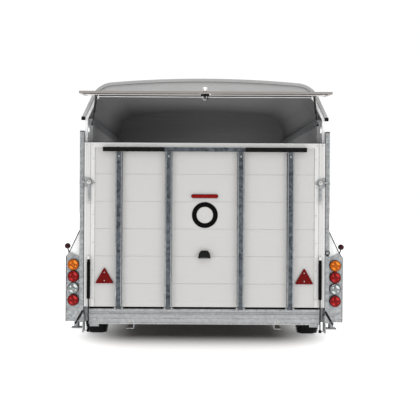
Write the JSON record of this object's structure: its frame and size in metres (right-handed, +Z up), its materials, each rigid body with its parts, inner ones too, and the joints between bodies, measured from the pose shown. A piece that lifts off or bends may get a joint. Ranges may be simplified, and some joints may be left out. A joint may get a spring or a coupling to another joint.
{
  "type": "livestock trailer",
  "caption": "Covered livestock trailer with a plank-sided body, a fold-down rear ramp with gas struts, an air flap over it, lamp boards, prop stands and an overrun coupling.",
  "frame": {"origin": "on the ground at the middle of the whole trailer's box, with the ramp closed and the flap open", "axes": "+X to the right seen from behind, +Y forwards to the drawbar, +Z up"},
  "size_m": [2.26, 4.6928, 2.273],
  "materials": {
    "galvanised": "hot-dip galvanised steel",
    "galvanised_dark": "spangled dark galvanised steel",
    "white_plank": "white coated aluminium planks",
    "alu_frame": "satin aluminium profile",
    "white_sheet": "white painted sheet",
    "grey_panel": "grey moulded panel",
    "roof_grey": "dark grey moulded roof",
    "flap_white": "light sandwich panel",
    "floor_wood": "coated plywood floor",
    "rubber": "black rubber",
    "black_plastic": "black moulded plastic",
    "black_steel": "black painted steel",
    "tyre": "tyre rubber",
    "rim_silver": "silver painted steel wheel",
    "lens_red": "red lens",
    "lens_amber": "amber lens",
    "lens_clear": "clear ribbed lens"
  },
  "bodies": {
    "trailer": {"chassis_frame": "galvanised", "rear_sill": "galvanised", "drawbar": "galvanised", "floor_boards": "floor_wood", "side_walls": "white_plank", "front_wall": "white_plank", "upper_sides": "grey_panel", "body_posts": "galvanised", "roof_skin": "roof_grey", "roof_nose": "roof_grey", "roof_trim": "roof_grey", "rear_arch": "white_sheet", "rear_header": "grey_panel", "wheel_boxes": "white_sheet", "mudguards": "white_sheet", "lamp_boards": "galvanised", "lamp_bases": "black_plastic", "amber_lenses": "lens_amber", "red_lenses": "lens_red", "clear_lenses": "lens_clear", "marker_stalks": "rubber", "marker_lenses": "lens_red", "rear_brackets": "galvanised", "coupling_housing": "galvanised", "jockey_clamp": "galvanised", "axle_beam": "galvanised"},
    "ramp": {"ramp_planks": "white_plank", "ramp_frame": "alu_frame", "ramp_stiffeners": "galvanised_dark", "ramp_cross_bar": "galvanised_dark", "ramp_buffers": "rubber", "ramp_cleats": "alu_frame", "stop_lamp": "lens_red", "plate_lamp": "black_plastic", "reflex_triangles": "lens_red", "latch_plates": "galvanised"},
    "latch_left": {"latch_lever_left": "galvanised"},
    "latch_right": {"latch_lever_right": "galvanised"},
    "flap": {"flap_panel": "flap_white"},
    "flap_catch": {"flap_latch": "black_plastic"},
    "ramp_strut_lower": {"ramp_strut_rods": "black_steel"},
    "ramp_strut_upper": {"ramp_strut_barrels": "black_steel"},
    "flap_strut_lower_left": {"flap_rod_left": "black_steel"},
    "flap_strut_lower_right": {"flap_rod_right": "black_steel"},
    "flap_strut_upper_left": {"flap_barrel_left": "black_steel"},
    "flap_strut_upper_right": {"flap_barrel_right": "black_steel"},
    "wheel_left": {"tyre_left": "tyre", "rim_left": "rim_silver"},
    "wheel_right": {"tyre_right": "tyre", "rim_right": "rim_silver"},
    "stand_left": {"stand_leg_left": "galvanised"},
    "stand_right": {"stand_leg_right": "galvanised"},
    "stand_clamp_left": {"stand_handle_left": "black_steel"},
    "stand_clamp_right": {"stand_handle_right": "black_steel"},
    "jockey_lower": {"jockey_leg": "galvanised"},
    "jockey_roller": {"jockey_wheel": "rubber"},
    "jockey_winder": {"jockey_crank": "galvanised"},
    "coupling": {"coupling_head": "galvanised"},
    "coupling_lock": {"coupling_handle": "black_plastic"},
    "handbrake": {"handbrake_lever": "black_steel"}
  },
  "joints": [
    {"name": "ramp_hinge", "type": "hinge", "parent": "trailer", "child": "ramp", "pos_m": [0, -1.9985, 0.418], "axis": [1, 0, 0], "range_deg": [0, 106]},
    {"name": "latch_left_turn", "type": "hinge", "parent": "ramp", "child": "latch_left", "pos_m": [-0.93, -2.0135, 1.432], "axis": [0, 1, 0], "range_deg": [0, 75]},
    {"name": "latch_right_turn", "type": "hinge", "parent": "ramp", "child": "latch_right", "pos_m": [0.93, -2.0135, 1.432], "axis": [0, -1, 0], "range_deg": [0, 75]},
    {"name": "flap_hinge", "type": "hinge", "parent": "trailer", "child": "flap", "pos_m": [0, -1.9685, 2.137], "axis": [1, 0, 0], "range_deg": [0, 86.5]},
    {"name": "flap_catch_turn", "type": "hinge", "parent": "flap", "child": "flap_catch", "pos_m": [-0.006, -2.32583, 2.11515], "axis": [0, -0.061, 0.9981], "range_deg": [0, 90]},
    {"name": "ramp_strut_turn", "type": "hinge", "parent": "trailer", "child": "ramp_strut_lower", "pos_m": [0, -2.0195, 0.24], "axis": [1, 0, 0], "range_deg": [0, 81.23]},
    {"name": "ramp_strut_close", "type": "slide", "parent": "ramp_strut_lower", "child": "ramp_strut_upper", "axis": [0, 0, -1], "range_m": [0, 0.21556]},
    {"name": "flap_strut_left_turn", "type": "hinge", "parent": "trailer", "child": "flap_strut_lower_left", "pos_m": [-0.92, -1.8785, 1.906], "axis": [-1, 0, 0], "range_deg": [0, 12.71]},
    {"name": "flap_strut_left_close", "type": "slide", "parent": "flap_strut_lower_left", "child": "flap_strut_upper_left", "axis": [-0.1777, 0.6034, -0.7774], "range_m": [0, 0.09412]},
    {"name": "flap_strut_right_turn", "type": "hinge", "parent": "trailer", "child": "flap_strut_lower_right", "pos_m": [0.92, -1.8785, 1.906], "axis": [-1, 0, 0], "range_deg": [0, 12.71]},
    {"name": "flap_strut_right_close", "type": "slide", "parent": "flap_strut_lower_right", "child": "flap_strut_upper_right", "axis": [0.1777, 0.6034, -0.7774], "range_m": [0, 0.09412]},
    {"name": "wheel_left_spin", "type": "hinge", "parent": "trailer", "child": "wheel_left", "pos_m": [-1.01, -0.5735, 0.298], "axis": [1, 0, 0], "continuous": true},
    {"name": "stand_left_drop", "type": "slide", "parent": "trailer", "child": "stand_left", "axis": [0, 0, -1], "range_m": [0, 0.24]},
    {"name": "stand_left_clamp", "type": "hinge", "parent": "trailer", "child": "stand_clamp_left", "pos_m": [-1.034, -1.9735, 0.297], "axis": [0, 1, 0], "range_deg": [0, 20]},
    {"name": "wheel_right_spin", "type": "hinge", "parent": "trailer", "child": "wheel_right", "pos_m": [1.01, -0.5735, 0.298], "axis": [1, 0, 0], "continuous": true},
    {"name": "stand_right_drop", "type": "slide", "parent": "trailer", "child": "stand_right", "axis": [0, 0, -1], "range_m": [0, 0.24]},
    {"name": "stand_right_clamp", "type": "hinge", "parent": "trailer", "child": "stand_clamp_right", "pos_m": [1.034, -1.9735, 0.297], "axis": [0, -1, 0], "range_deg": [0, 20]},
    {"name": "jockey_crank_turn", "type": "hinge", "parent": "trailer", "child": "jockey_winder", "pos_m": [0.196, 1.8065, 0.78], "axis": [0, 0, 1], "range_deg": [0, 5760]},
    {"name": "jockey_lift", "type": "slide", "parent": "trailer", "child": "jockey_lower", "axis": [0, 0, 1], "range_m": [0, 0.08]},
    {"name": "jockey_wheel_spin", "type": "hinge", "parent": "jockey_lower", "child": "jockey_roller", "pos_m": [0.196, 1.8065, 0.1], "axis": [1, 0, 0], "continuous": true},
    {"name": "overrun_slide", "type": "slide", "parent": "trailer", "child": "coupling", "axis": [0, -1, 0], "range_m": [0, 0.08]},
    {"name": "coupling_handle_lift", "type": "hinge", "parent": "coupling", "child": "coupling_lock", "pos_m": [0, 2.2825, 0.47], "axis": [-1, 0, 0], "range_deg": [0, 50]},
    {"name": "handbrake_pull", "type": "hinge", "parent": "trailer", "child": "handbrake", "pos_m": [0.069, 1.9215, 0.44], "axis": [1, 0, 0], "range_deg": [0, 45]}
  ],
  "couplings": [
    {"joint": "ramp_strut_turn", "follows": "ramp_hinge", "ratio": 0.76631},
    {"joint": "ramp_strut_close", "follows": "ramp_hinge", "m_per_rad": 0.11652},
    {"joint": "jockey_lift", "follows": "jockey_crank_turn", "m_per_rad": 0.0007957},
    {"joint": "flap_strut_left_turn", "follows": "flap_hinge", "ratio": 0.14696},
    {"joint": "flap_strut_left_close", "follows": "flap_hinge", "m_per_rad": 0.06234},
    {"joint": "flap_strut_right_turn", "follows": "flap_hinge", "ratio": 0.14696},
    {"joint": "flap_strut_right_close", "follows": "flap_hinge", "m_per_rad": 0.06234}
  ]
}
